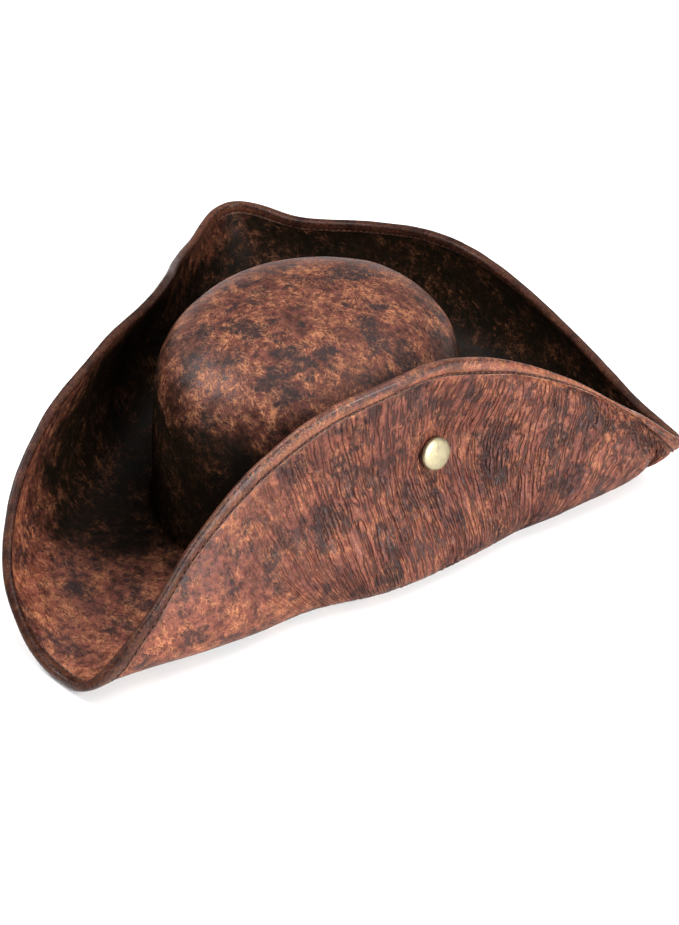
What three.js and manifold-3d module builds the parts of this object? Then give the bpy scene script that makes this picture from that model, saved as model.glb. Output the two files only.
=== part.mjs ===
// Tricorn hat: a domed leather crown, a leather brim turned up in three flaps,
// a folded edge binding and the brass snap that holds one flap to the crown.
// Millimetres, +Z up, the wearer faces -Y.

import * as THREE from "three";
import { mergeVertices } from "three/addons/utils/BufferGeometryUtils.js";
import Module from "manifold-3d";

const wasm = await Module();
wasm.setup();

// Head hollow and crown
const HEAD_LENGTH = 196;
const HEAD_WIDTH = 178;
const CROWN_HEIGHT = 126;
const CROWN_WALL = 2.4;
const CROWN_DOME = 62;
const CROWN_TOP_SHARE = 0.955;
const CROWN_ROUNDNESS = 2.9;
const CROWN_SIDE_ROWS = 3;
const CROWN_DOME_ROWS = 7;
const CROWN_STATIONS = 56;

// The gap between pieces that meet
const SEAM_GAP = 0.3;

// Brim
const BRIM_WIDTH = 145;
const BRIM_WALL = 2.4;
const BRIM_ROWS = 9;
const STEPS_PER_SECTION = 4;

// Where a section's fold and knee lie on the way round from its root to its rim, as shares
const FOLD_TURN = 0.3;
const KNEE_TURN = 0.8;

// How far the leather is pressed flat where the brim rests on the floor
const REST_SQUASH = 0.8;

// Edge binding, folded over the brim's edge
const BINDING_OUTSIDE = 10;
const BINDING_INSIDE = 6;
const BINDING_WALL = 1.6;

// Snap on the left flap: where it sits, its domed cap and the post that goes through the crown
const SNAP_SECTION = 6.35;
const SNAP_FROM_EDGE = 64;
const SNAP_DIAMETER = 20;
const SNAP_HEIGHT = 4;
const SNAP_EDGE = 1;
const SNAP_SIDES = 24;
const SNAP_DOME_ROWS = 6;
const POST_DIAMETER = 4;
const POST_CLEARANCE = 0.3;
const POST_SIDES = 16;

// The snap draws the flap in against the crown: how far round, in sections, and across
const PULL_SECTIONS = 3.2;
const PULL_ACROSS = 64;

// Finishes
const LEATHER = { color: 0x5a2f1c, roughness: 0.5, metalness: 0 };
const RUBBED_LEATHER = { color: 0x6b3a20, roughness: 0.45, metalness: 0 };
const BRASS = { color: 0xd9c58f, roughness: 0.35, metalness: 1 };

// The brim's sections, in order round the hat from the front corner by the left flap.
// root and rim are azimuths in degrees from +X, where the section leaves the crown and where it
// ends. The rest are shares of the brim's width: reach is measured out from the crown's oval,
// height up from the floor. fold is how far the section runs along the floor before it turns
// up, and knee is the bend above the fold.
const SECTION_COLUMNS = ["root", "rim", "rimReach", "rimHeight", "fold", "kneeReach", "kneeHeight"];
const SECTION_ROWS = [
  [-90, -91, 0.87, 0.03, 0.40, 0.68, 0.00],
  [-80, -84, 0.89, 0.09, 0.44, 0.77, 0.00],
  [-70, -79, 0.69, 0.31, 0.46, 0.78, 0.01],
  [-58, -75, 0.42, 0.52, 0.43, 0.68, 0.08],
  [-45, -66, 0.16, 0.69, 0.43, 0.32, 0.26],
  [-30, -46, 0.04, 0.85, 0.49, 0.06, 0.37],
  [-12, -14, 0.03, 0.90, 0.54, -0.04, 0.40],
  [6, 8, 0.08, 0.83, 0.65, 0.12, 0.35],
  [18, 23, 0.20, 0.71, 0.75, 0.58, 0.22],
  [28, 31.5, 0.41, 0.55, 0.74, 0.94, 0.08],
  [35, 34.5, 0.67, 0.37, 0.64, 0.95, 0.02],
  [40, 35.5, 0.87, 0.21, 0.56, 0.82, 0.01],
  [49, 44, 0.72, 0.25, 0.50, 0.80, 0.02],
  [60, 54, 0.57, 0.37, 0.46, 0.72, 0.08],
  [72, 66, 0.45, 0.49, 0.42, 0.62, 0.14],
  [86, 82, 0.38, 0.59, 0.40, 0.54, 0.19],
  [100, 98, 0.43, 0.58, 0.40, 0.56, 0.19],
  [114, 114, 0.58, 0.48, 0.44, 0.68, 0.12],
  [126, 128, 0.70, 0.42, 0.46, 0.78, 0.06],
  [136, 140, 0.88, 0.43, 0.48, 0.80, 0.06],
  [146, 152, 0.58, 0.45, 0.46, 0.72, 0.08],
  [162, 170, 0.22, 0.60, 0.38, 0.50, 0.18],
  [180, 194, 0.10, 0.66, 0.32, 0.38, 0.26],
  [200, 222, 0.19, 0.68, 0.32, 0.40, 0.28],
  [220, 238, 0.42, 0.60, 0.36, 0.56, 0.22],
  [236, 248, 0.63, 0.47, 0.40, 0.70, 0.12],
  [250, 256, 0.79, 0.28, 0.40, 0.76, 0.04],
  [262, 263, 0.85, 0.10, 0.40, 0.72, 0.00],
];

// Soft creases that run up the left flap: where, in sections, how wide, in sections, and how
// deep, as a share of the brim's wall. The relief is largest half way up and ends at the binding.
const CREASE_COLUMNS = ["place", "halfWidth", "depth"];
const CREASE_ROWS = [
  [3.2, 0.4, 0.4],
  [4.4, 0.4, -0.5],
  [5.1, 0.4, 0.6],
  [7.1, 0.4, -0.6],
  [7.8, 0.4, 0.7],
  [8.5, 0.4, -0.6],
  [9.2, 0.4, 0.6],
];

const crownHalfWidth = HEAD_WIDTH / 2 + CROWN_WALL;
const crownHalfLength = HEAD_LENGTH / 2 + CROWN_WALL;
const sectionCount = SECTION_ROWS.length;
const stationCount = sectionCount * STEPS_PER_SECTION;

// Height of the brim's middle surface where it rests
const restHeight = BRIM_WALL / 2 - REST_SQUASH;

// Rows of points across the brim where the binding ends, on its inner and its outer face
const INSIDE_ROW = 1;
const OUTSIDE_ROW = 2;

const radians = THREE.MathUtils.degToRad;

// Distance from the centre to the crown's outer oval at an azimuth
function crownRadius(azimuth) {
  return 1 / Math.hypot(Math.cos(azimuth) / crownHalfWidth, Math.sin(azimuth) / crownHalfLength);
}

// A closed skin through equal rings of points. Rings run from the first to the last, and
// wrap round to the first where loop is true. Without loop, the end rings have one point each.
// The first spans between rings, as many as turned says, split their faces the other way, so
// that two skins that lie on each other have the same facets.
function skin(rings, loop, turned = 0) {
  const points = [];
  const starts = [];
  for (const ring of rings) {
    starts.push(points.length / 3);
    ring.forEach((p) => points.push(p.x, p.y, p.z));
  }
  const triangles = [];
  const spans = loop ? rings.length : rings.length - 1;
  for (let r = 0; r < spans; r += 1) {
    const next = (r + 1) % rings.length;
    const here = rings[r].length;
    const there = rings[next].length;
    for (let i = 0; i < Math.max(here, there); i += 1) {
      const a = starts[r] + (i % here);
      const b = starts[r] + ((i + 1) % here);
      const c = starts[next] + (i % there);
      const d = starts[next] + ((i + 1) % there);
      if (r < turned) {
        triangles.push(a, b, c, b, d, c);
      } else {
        if (here > 1) triangles.push(a, b, d);
        if (there > 1) triangles.push(a, d, c);
      }
    }
  }
  return solidGeometry(points, triangles);
}

function solidGeometry(points, triangles) {
  const geometry = new THREE.BufferGeometry();
  geometry.setAttribute("position", new THREE.Float32BufferAttribute(points, 3));
  geometry.setIndex(triangles);
  return geometry;
}

function toManifold(geometry) {
  const bare = geometry.clone();
  bare.deleteAttribute("normal");
  bare.deleteAttribute("uv");
  const merged = mergeVertices(bare);
  const vertProperties = new Float32Array(merged.attributes.position.array);
  const triVerts = new Uint32Array(merged.index.array);
  return new wasm.Manifold(new wasm.Mesh({ numProp: 3, vertProperties, triVerts }));
}

function fromManifold(solid) {
  const mesh = solid.getMesh();
  return solidGeometry(Array.from(mesh.vertProperties), Array.from(mesh.triVerts));
}

function cutHole(geometry, tool) {
  return fromManifold(toManifold(geometry).subtract(toManifold(tool)));
}

function named(name, geometry, finish) {
  geometry.computeVertexNormals();
  const mesh = new THREE.Mesh(geometry, new THREE.MeshStandardMaterial(finish));
  mesh.name = name;
  return mesh;
}

// Crown

function ovalRing(halfWidth, halfLength, z) {
  const ring = [];
  for (let i = 0; i < CROWN_STATIONS; i += 1) {
    const turn = (2 * Math.PI * i) / CROWN_STATIONS;
    ring.push(new THREE.Vector3(halfWidth * Math.cos(turn), halfLength * Math.sin(turn), z));
  }
  return ring;
}

// One face of the crown, inset from its outer face: rings from the foot to the top point
function crownFace(inset) {
  const sideHeight = CROWN_HEIGHT - CROWN_DOME;
  const domeHeight = CROWN_DOME - inset;
  const power = 2 / CROWN_ROUNDNESS;
  const rings = [];
  const addRing = (share, z) => {
    rings.push(ovalRing(share * (crownHalfWidth - inset), share * (crownHalfLength - inset), z));
  };
  for (let row = 0; row < CROWN_SIDE_ROWS; row += 1) {
    const climb = row / CROWN_SIDE_ROWS;
    addRing(1 - (1 - CROWN_TOP_SHARE) * climb, sideHeight * climb);
  }
  for (let row = 0; row < CROWN_DOME_ROWS; row += 1) {
    const turn = (Math.PI / 2) * (row / CROWN_DOME_ROWS);
    const share = CROWN_TOP_SHARE * Math.cos(turn) ** power;
    addRing(share, sideHeight + domeHeight * Math.sin(turn) ** power);
  }
  rings.push([new THREE.Vector3(0, 0, CROWN_HEIGHT - inset)]);
  return rings;
}

function crownGeometry() {
  const outer = crownFace(0);
  const inner = crownFace(CROWN_WALL);
  return skin([...inner.reverse(), ...outer], false);
}

// Brim

// A smooth value of one table column at a place between sections, which run round the hat
function column(name, place) {
  const index = SECTION_COLUMNS.indexOf(name);
  const turns = name === "root" || name === "rim" ? 360 : 0;
  const value = (row) => {
    const wraps = Math.floor(row / sectionCount);
    return SECTION_ROWS[row - wraps * sectionCount][index] + wraps * turns;
  };
  const row = Math.floor(place);
  const t = place - row;
  const [p0, p1, p2, p3] = [value(row - 1), value(row), value(row + 1), value(row + 2)];
  const m1 = (p2 - p0) / 2;
  const m2 = (p3 - p1) / 2;
  const rise = 3 * t * t - 2 * t * t * t;
  return p1 + rise * (p2 - p1) + (t ** 3 - 2 * t * t + t) * m1 + (t ** 3 - t * t) * m2;
}

// A point at an azimuth, so far out from the seam at the crown's foot and so high
function brimPoint(azimuth, reach, height) {
  const radius = crownRadius(azimuth) + SEAM_GAP + reach;
  return new THREE.Vector3(radius * Math.cos(azimuth), radius * Math.sin(azimuth), height);
}

// The middle line of the brim's section at a place: from the crown's foot to the rim
function sectionCurve(place) {
  const root = radians(column("root", place));
  const rim = radians(column("rim", place));
  const between = (share) => root + (rim - root) * share;
  const length = (name) => column(name, place) * BRIM_WIDTH;
  const kneeHeight = restHeight + length("kneeHeight");
  return new THREE.CubicBezierCurve3(
    brimPoint(root, 0, restHeight),
    brimPoint(between(FOLD_TURN), length("fold"), restHeight),
    brimPoint(between(KNEE_TURN), length("kneeReach"), kneeHeight),
    brimPoint(rim, length("rimReach"), restHeight + length("rimHeight")),
  );
}

// Distances from the rim of the rows of points across one section
function rowDistances(sectionLength) {
  const distances = [0, BINDING_INSIDE, BINDING_OUTSIDE];
  const rest = sectionLength - BINDING_OUTSIDE;
  for (let row = 1; row <= BRIM_ROWS; row += 1) {
    distances.push(BINDING_OUTSIDE + (rest * row) / BRIM_ROWS);
  }
  return distances;
}

function pointFromRim(curve, distance) {
  return curve.getPointAt(Math.max(1 - distance / curve.getLength(), 0));
}

// A smooth bump that is 1 at the middle and 0 from a distance of 1
function bump(distance) {
  return Math.max(1 - distance * distance, 0) ** 2;
}

// The point's distance out from the seam at the crown's foot
function reachOf(point) {
  return Math.hypot(point.x, point.y) - crownRadius(Math.atan2(point.y, point.x)) - SEAM_GAP;
}

// The nearest that the brim's middle surface comes to the crown where the flap lies on it
const nearestReach = BRIM_WALL / 2;
const pullDepth = reachOf(pointFromRim(sectionCurve(SNAP_SECTION), SNAP_FROM_EDGE)) - nearestReach;

// The brim's middle surface at a place and a distance from the rim
function brimSurface(place, curve, distance) {
  const point = pointFromRim(curve, distance);
  const reach = reachOf(point);
  const round = bump((place - SNAP_SECTION) / PULL_SECTIONS);
  const across = bump((distance - SNAP_FROM_EDGE) / PULL_ACROSS);
  const pulled = Math.max(reach - pullDepth * round * across, Math.min(reach, nearestReach));
  return brimPoint(Math.atan2(point.y, point.x), pulled, point.z);
}

// The brim's middle surface: for each station, points from the rim to the crown's foot
function brimGrid() {
  const points = [];
  for (let station = 0; station < stationCount; station += 1) {
    const place = station / STEPS_PER_SECTION;
    const curve = sectionCurve(place);
    const distances = rowDistances(curve.getLength());
    points.push(distances.map((distance) => brimSurface(place, curve, distance)));
  }
  return points;
}

// Relief of the creases at a place and a share of the way in from the binding's foot
function creaseRelief(place, share) {
  const rise = Math.sin(Math.PI * Math.min(Math.max(share, 0), 1));
  return CREASE_ROWS.reduce((sum, row) => {
    const [middle, halfWidth, depth] = CREASE_COLUMNS.map((_, index) => row[index]);
    return sum + depth * BRIM_WALL * rise * bump((place - middle) / halfWidth);
  }, 0);
}

// Unit normals of the middle surface, on the side that faces up and in to the crown
function gridNormals(grid) {
  const last = grid[0].length - 1;
  return grid.map((points, station) => points.map((_, row) => {
    const ahead = grid[(station + 1) % stationCount][row];
    const behind = grid[(station + stationCount - 1) % stationCount][row];
    const round = ahead.clone().sub(behind);
    const inward = points[Math.min(row + 1, last)].clone().sub(points[Math.max(row - 1, 0)]);
    return round.cross(inward).normalize();
  }));
}

const smoothGrid = brimGrid();
const smoothNormals = gridNormals(smoothGrid);
const grid = smoothGrid.map((points, station) => points.map((point, row) => {
  const share = (row - OUTSIDE_ROW) / (points.length - 1 - OUTSIDE_ROW);
  const relief = creaseRelief(station / STEPS_PER_SECTION, share);
  return point.clone().addScaledVector(smoothNormals[station][row], -relief);
}));
const normals = gridNormals(grid);

// A point off the brim's middle surface, never below the floor
function offPoint(station, row, distance) {
  const point = grid[station][row].clone().addScaledVector(normals[station][row], distance);
  point.z = Math.max(point.z, 0);
  return point;
}

function ringAt(row, distance) {
  return grid.map((_, station) => offPoint(station, row, distance));
}

function brimGeometry() {
  const half = BRIM_WALL / 2;
  const rows = grid[0].map((_, row) => row);
  const inside = rows.map((row) => ringAt(row, half));
  const outside = rows.map((row) => ringAt(row, -half));
  return skin([...inside, ...outside.reverse()], true);
}

// Edge binding: a channel of leather folded over the brim's edge

function bindingGeometry() {
  const near = BRIM_WALL / 2 + SEAM_GAP;
  const far = near + BINDING_WALL;
  const crest = near / 2;
  const edgeRing = (distance, beyond) => grid.map((points, station) => {
    const outward = points[0].clone().sub(points[1]).normalize();
    return offPoint(station, 0, distance).addScaledVector(outward, beyond);
  });
  const rings = [
    ringAt(INSIDE_ROW, near),
    edgeRing(near, SEAM_GAP),
    edgeRing(-near, SEAM_GAP),
    ringAt(INSIDE_ROW, -near),
    ringAt(OUTSIDE_ROW, -near),
    ringAt(OUTSIDE_ROW, -far),
    ringAt(INSIDE_ROW, -far),
    edgeRing(-far, SEAM_GAP),
    edgeRing(-crest, SEAM_GAP + BINDING_WALL),
    edgeRing(crest, SEAM_GAP + BINDING_WALL),
    edgeRing(far, SEAM_GAP),
    ringAt(INSIDE_ROW, far),
  ];
  const channelSpans = 4;
  return skin(rings, true, channelSpans);
}

// Snap: its frame has its origin on the flap's outer face and +Z away from the flap

function snapFrame() {
  const aside = 1 / STEPS_PER_SECTION;
  const surface = (place, distance) => brimSurface(place, sectionCurve(place), distance);
  const point = surface(SNAP_SECTION, SNAP_FROM_EDGE);
  const ahead = surface(SNAP_SECTION + aside, SNAP_FROM_EDGE);
  const behind = surface(SNAP_SECTION - aside, SNAP_FROM_EDGE);
  const above = surface(SNAP_SECTION, SNAP_FROM_EDGE - SNAP_DIAMETER / 2);
  const below = surface(SNAP_SECTION, SNAP_FROM_EDGE + SNAP_DIAMETER / 2);
  const outward = below.sub(above).cross(ahead.sub(behind)).normalize();
  const frame = new THREE.Group();
  frame.position.copy(point).addScaledVector(outward, BRIM_WALL / 2);
  frame.quaternion.setFromUnitVectors(new THREE.Vector3(0, 0, 1), outward);
  frame.updateMatrixWorld();
  return frame;
}

// How far the flap stands out under the cap, in the snap's frame
function seatHeight(frame, flap) {
  const local = flap.clone().applyMatrix4(frame.matrixWorld.clone().invert());
  const core = rod(SNAP_DIAMETER, -SNAP_DIAMETER, SNAP_DIAMETER);
  const under = toManifold(local).intersect(toManifold(core));
  return fromManifold(under).attributes.position.array.reduce((top, value, index) => (
    index % 3 === 2 ? Math.max(top, value) : top), -Infinity);
}

function capGeometry() {
  const radius = SNAP_DIAMETER / 2;
  const profile = [new THREE.Vector2(0, 0), new THREE.Vector2(radius, 0)];
  for (let row = 0; row < SNAP_DOME_ROWS; row += 1) {
    const turn = (Math.PI / 2) * (row / SNAP_DOME_ROWS);
    const rise = SNAP_EDGE + (SNAP_HEIGHT - SNAP_EDGE) * Math.sin(turn);
    profile.push(new THREE.Vector2(radius * Math.cos(turn), rise));
  }
  profile.push(new THREE.Vector2(0, SNAP_HEIGHT));
  const turned = new THREE.LatheGeometry(profile, SNAP_SIDES).rotateX(Math.PI / 2);
  return fromManifold(toManifold(turned));
}

function rod(diameter, from, to) {
  const geometry = new THREE.CylinderGeometry(diameter / 2, diameter / 2, to - from, POST_SIDES);
  return geometry.rotateX(Math.PI / 2).translate(0, 0, (from + to) / 2);
}

// Distance from the flap's outer face in to the crown's side, along the post. The crown's oval
// is a circle of radius 1 once x and y are divided by its half sizes.
function depthToCrown(frame) {
  const scale = new THREE.Vector3(1 / crownHalfWidth, 1 / crownHalfLength, 0);
  scale.divideScalar(CROWN_TOP_SHARE);
  const start = frame.position.clone().multiply(scale);
  const step = new THREE.Vector3(0, 0, -1).applyQuaternion(frame.quaternion).multiply(scale);
  const middle = -start.dot(step) / step.lengthSq();
  const offCentre = start.clone().addScaledVector(step, middle).lengthSq();
  return middle - Math.sqrt(Math.max(1 - offCentre, 0) / step.lengthSq());
}

const hat = new THREE.Group();
const snap = snapFrame();
const wholeBrim = brimGeometry();
const seat = seatHeight(snap, wholeBrim);
const postDepth = depthToCrown(snap) + CROWN_WALL;
const holeDiameter = POST_DIAMETER + 2 * POST_CLEARANCE;
const postHole = rod(holeDiameter, -postDepth - CROWN_WALL, seat + SNAP_HEIGHT);
postHole.applyMatrix4(snap.matrixWorld);

hat.add(named("crown", cutHole(crownGeometry(), postHole), LEATHER));
hat.add(named("brim", cutHole(wholeBrim, postHole), LEATHER));
hat.add(named("edge_binding", bindingGeometry(), RUBBED_LEATHER));

const cap = named("snap_cap", capGeometry(), BRASS);
cap.position.z = seat + SEAM_GAP;
snap.add(cap);
snap.add(named("snap_post", rod(POST_DIAMETER, -postDepth, seat), BRASS));
hat.add(snap);

// The origin is the middle of the hat's box, on the floor
const box = new THREE.Box3().setFromObject(hat);
hat.position.set(-(box.min.x + box.max.x) / 2, -(box.min.y + box.max.y) / 2, -box.min.z);

export default hat;
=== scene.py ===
"""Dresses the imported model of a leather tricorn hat, and sets the stage it is shown on.

Metres, +Z up, the wearer faces -Y. The hat lies on the floor by itself.
"""

import math

import bpy
import numpy as np
from mathutils import Matrix, Vector, noise


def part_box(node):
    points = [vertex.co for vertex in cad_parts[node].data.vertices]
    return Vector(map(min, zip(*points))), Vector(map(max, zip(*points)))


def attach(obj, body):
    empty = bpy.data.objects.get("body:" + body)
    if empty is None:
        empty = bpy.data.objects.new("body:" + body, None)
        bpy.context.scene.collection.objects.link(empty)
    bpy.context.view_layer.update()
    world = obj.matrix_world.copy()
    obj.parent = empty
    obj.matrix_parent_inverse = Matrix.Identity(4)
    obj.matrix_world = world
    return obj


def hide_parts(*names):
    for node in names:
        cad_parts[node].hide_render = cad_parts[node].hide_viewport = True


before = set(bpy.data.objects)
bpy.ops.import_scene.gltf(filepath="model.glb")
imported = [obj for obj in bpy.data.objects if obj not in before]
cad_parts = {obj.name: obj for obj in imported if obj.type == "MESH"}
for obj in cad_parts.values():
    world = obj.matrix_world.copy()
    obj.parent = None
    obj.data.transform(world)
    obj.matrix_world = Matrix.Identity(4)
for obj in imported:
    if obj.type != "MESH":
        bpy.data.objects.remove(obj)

bl_info = {
    "name": "Tricorn Hat",
    "version": (1, 0, 0),
    "blender": (4, 5, 0),
    "location": "3D View > Sidebar > Tricorn Hat",
    "description": "Leather crown, brim, edge binding, stitches and brass snap of a tricorn hat",
    "category": "Object",
}

MM = 0.001
BODY = "root"

# The crown's oval stands on the floor round this point
crown_low, crown_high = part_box("crown")
CENTRE = np.array([(crown_low.x + crown_high.x) / 2, (crown_low.y + crown_high.y) / 2, 0.0])
CROWN_HALF_WIDTH = (crown_high.x - crown_low.x) / 2
CROWN_HALF_LENGTH = (crown_high.y - crown_low.y) / 2
CROWN_HEIGHT = crown_high.z

# Crown: an upright side that leans in a little, and a dome whose outline is a superellipse
CROWN_DOME = 62 * MM
CROWN_SIDE = CROWN_HEIGHT - CROWN_DOME
CROWN_TOP_SHARE = 0.955
CROWN_ROUNDNESS = 2.9
CROWN_STATIONS = 64
CROWN_SIDE_ROWS = 5
CROWN_FOOT_SHARE = 0.015
CROWN_DOME_ROWS = 10
CROWN_LAST_SHARE = 0.42

# Heights over which the crown's unevenness comes in, and height and size of its dents
CROWN_DENTS_FROM = (8 * MM, 40 * MM)
CROWN_DENTS = ((1.4 * MM, 52 * MM), (0.5 * MM, 19 * MM))

# Heights from which and to which shade is painted on the crown, darker towards its foot, and
# on the outer face of the brim, darker towards the fold and the floor, where it is in two steps
CROWN_PAINTED_SHADE = (133 * MM, 57 * MM)
FOLD_PAINTED_SHADE = (26 * MM, 4 * MM)
FLOOR_PAINTED_SHADE = (4 * MM, 0)

# Brim, as in the frame, but sunk a little into the crown's foot so that no light shows there
BRIM_WIDTH = 145 * MM
REST_SQUASH = 0.8 * MM
SEAM_GAP = -0.1 * MM
FOLD_TURN = 0.3
KNEE_TURN = 0.8

# The brim's sections, in order round the hat from the front corner by the left flap. root and
# rim are azimuths in degrees from +X. The rest are shares of the brim's width.
SECTION_COLUMNS = ("root", "rim", "rim_reach", "rim_height", "fold", "knee_reach", "knee_height")
SECTION_ROWS = (
    (-90, -91, 0.87, 0.03, 0.40, 0.68, 0.00),
    (-80, -84, 0.89, 0.09, 0.44, 0.77, 0.00),
    (-70, -79, 0.69, 0.31, 0.46, 0.78, 0.01),
    (-58, -75, 0.42, 0.52, 0.43, 0.68, 0.08),
    (-45, -66, 0.16, 0.69, 0.43, 0.32, 0.26),
    (-30, -46, 0.04, 0.85, 0.49, 0.06, 0.37),
    (-12, -14, 0.03, 0.90, 0.54, -0.04, 0.40),
    (6, 8, 0.08, 0.83, 0.65, 0.12, 0.35),
    (18, 23, 0.20, 0.71, 0.75, 0.58, 0.22),
    (28, 31.5, 0.41, 0.55, 0.74, 0.94, 0.08),
    (35, 34.5, 0.67, 0.37, 0.64, 0.95, 0.02),
    (40, 35.5, 0.87, 0.21, 0.56, 0.82, 0.01),
    (49, 44, 0.72, 0.25, 0.50, 0.80, 0.02),
    (60, 54, 0.57, 0.37, 0.46, 0.72, 0.08),
    (72, 66, 0.45, 0.49, 0.42, 0.62, 0.14),
    (86, 82, 0.38, 0.59, 0.40, 0.54, 0.19),
    (100, 98, 0.43, 0.58, 0.40, 0.56, 0.19),
    (114, 114, 0.58, 0.48, 0.44, 0.68, 0.12),
    (126, 128, 0.70, 0.42, 0.46, 0.78, 0.06),
    (136, 140, 0.88, 0.43, 0.48, 0.80, 0.06),
    (146, 152, 0.58, 0.45, 0.46, 0.72, 0.08),
    (162, 170, 0.22, 0.60, 0.38, 0.50, 0.18),
    (180, 194, 0.10, 0.66, 0.32, 0.38, 0.26),
    (200, 222, 0.19, 0.68, 0.32, 0.40, 0.28),
    (220, 238, 0.42, 0.60, 0.36, 0.56, 0.22),
    (236, 248, 0.63, 0.47, 0.40, 0.70, 0.12),
    (250, 256, 0.79, 0.28, 0.40, 0.76, 0.04),
    (262, 263, 0.85, 0.10, 0.40, 0.72, 0.00),
)
SECTION_COUNT = len(SECTION_ROWS)
CURVE_STEPS = 96

# Broad creases of the left flap: place and half width in sections, depth in walls
CREASE_ROWS = (
    (3.2, 0.4, 0.4), (4.4, 0.4, -0.5), (5.1, 0.4, 0.6), (7.1, 0.4, -0.6), (7.8, 0.4, 0.7),
    (8.5, 0.4, -0.6), (9.2, 0.4, 0.6),
)

# Heights over which the brim's creases and waves come in, how far from its edge they start, and
# the sizes of the waves
RELIEF_FROM = (14 * MM, 50 * MM)
CREASES_START = 10 * MM
WAVES_START = (4 * MM, 30 * MM)
WAVE_SIZES = (46 * MM, 21 * MM)

# Where the snap draws the left flap in against the crown
SNAP_SECTION = 6.35
SNAP_FROM_EDGE = 64 * MM
PULL_SECTIONS = 3.2
PULL_ACROSS = 64 * MM
DIMPLE_DEPTH = 1.6 * MM
DIMPLE_RADIUS = 17 * MM

# Spacing of the brim's points: close on the outer face of the wrinkled left flap
WRINKLED_SECTIONS = (2.6, 11.0)
FINE_SPACING = 1.08 * MM
COARSE_SPACING = 6 * MM
OUTER_ROWS = 118
INNER_ROWS = 36
EDGE_ROWS = 6
MERGE_DISTANCE = 0.001 * MM

# How the wrinkles fan out over the left flap: place in sections, and drift along the flap for
# each step away from the edge
WRINKLE_FAN = (
    (2.0, 0.34), (4.0, 0.16), (5.0, 0.0), (6.0, -0.12), (6.6, -0.30), (7.2, -0.52),
    (8.0, -0.80), (8.6, -0.85), (9.2, -0.70), (9.6, -0.45), (10.2, -0.20), (11.0, 0.0),
)
FAN_LEVEL = 45 * MM
FAN_STEPS = 24

# Wrinkles of the left flap: how far they wander over which distance, the length of the fine
# ones, the spacing, length and depth of the broad ones, and half widths of the valleys of both
# in the noise's units
WANDER_REACH = 1.1 * MM
WANDER_SIZE = 11 * MM
FINE_LENGTH = 26 * MM
BROAD_SPACING = 8.5 * MM
BROAD_LENGTH = 55 * MM
BROAD_DEPTH = 1.1 * MM
FINE_VALLEY = 0.26
BROAD_VALLEY = 0.09

# How far shade is painted from the crown up the brim's inner face, into the valleys between the
# flaps and the crown: place in sections, and share of the way to the edge
PAINTED_SHADE_REACH = (
    (0.0, 0.05), (3.0, 0.20), (11.0, 0.80), (12.5, 1.10), (14.0, 1.40), (17.0, 1.35),
    (18.4, 1.10), (19.3, 0.95), (20.3, 0.95), (21.5, 1.00), (23.0, 0.92), (24.5, 0.62),
    (26.0, 0.25), (28.0, 0.05),
)

# A leg of the edge binding, from the crest: share of its width, and share of its puff. The
# stitches draw it in to a groove short of its cut edge.
BINDING_LEG = (
    (0.00, 0.86), (0.10, 0.95), (0.22, 1.00), (0.36, 0.99), (0.50, 0.90), (0.62, 0.74),
    (0.72, 0.50), (0.79, 0.22), (0.84, 0.06), (0.88, 0.22), (0.93, 0.38), (0.98, 0.38),
    (1.00, 0.25),
)
GROOVE_SHARE = 0.84
GROOVE_SPREAD = 0.3
GROOVE_FLOOR = 0.2
BINDING_CLEARANCE = 0.05 * MM
BINDING_SPACING = 1.1 * MM
INSIDE_PUFF = 0.7

# Height and half width of the binding's crest and the steps over it, how far each stitch draws
# the leather in, the height and size of its unevenness, and half width of its cut edge
CREST_HEIGHT = 1.9 * MM
CREST_HALF_WIDTH = 2.6 * MM
CREST_STEPS = 8
PUCKER = 0.16 * MM
UNEVENNESS = 0.22 * MM
UNEVEN_SIZE = 13 * MM
CUT_EDGE = 0.35 * MM

# The pinch beside the binding's seam: depth, distance from the binding and half width
PINCH_DEPTH = 0.5 * MM
PINCH_GAP = 0.4 * MM
PINCH_HALF_WIDTH = 2.2 * MM

# Share of shade painted on the binding, by place in sections: none along the top of the left flap
BINDING_PAINTED_SHADE = (
    (0.0, 0.75), (2.5, 0.72), (3.6, 0.45), (4.8, 0.08), (6.0, 0.0), (9.5, 0.0), (10.6, 0.25),
    (11.6, 0.80), (18.0, 0.78), (19.5, 0.55), (21.0, 0.82), (28.0, 0.75),
)

# A stitch: spacing of the seam's points, sides and rings of the thread, where in its pitch it
# starts and ends, how far it bows in thread radii, and its girth at the ends
SEAM_SPACING = 1.4 * MM
THREAD_SIDES = 6
THREAD_RINGS = 5
STITCH_SPAN = (0.12, 0.88)
STITCH_BOW = 1.3
STITCH_SINK = 0.75
STITCH_END_GIRTH = 0.45

# The snap's cap: share of the radius and of the height, from the turned-in foot over the rolled
# edge. The first ring is on the foot.
CAP_VERTICES = 48
CAP_WALL = 0.6 * MM
CAP_FOOT_SHARE = 0.86
CAP_PROFILE = (
    (0.97, -0.04), (1.0, 0.1), (0.995, 0.34), (0.96, 0.56), (0.88, 0.71), (0.7, 0.85),
    (0.42, 0.95), (0.16, 0.99),
)

# Stage. Each softbox has a direction from the hat, a distance and a size in metres, and a power
# in watts.
PHOTO_HEIGHT = 925
SENSOR = 36.0
FLOOR_SIZE = 12
FLOOR_DROP = 0.4 * MM
WORLD_STRENGTH = 0.30
SOFTBOXES = (
    ("softbox_left", (-0.60, -0.34, 0.73), 0.9, 0.36, 8),
    ("softbox_right", (0.90, -0.24, 0.46), 1.6, 0.9, 43),
    ("softbox_top", (0.10, 0.35, 1.0), 2.4, 2.4, 44),
)


def length_property(name, description, default_mm, low_mm, high_mm):
    return bpy.props.FloatProperty(
        name=name, description=description, default=default_mm * MM, min=low_mm * MM,
        max=high_mm * MM, precision=5, unit="LENGTH")


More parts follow.
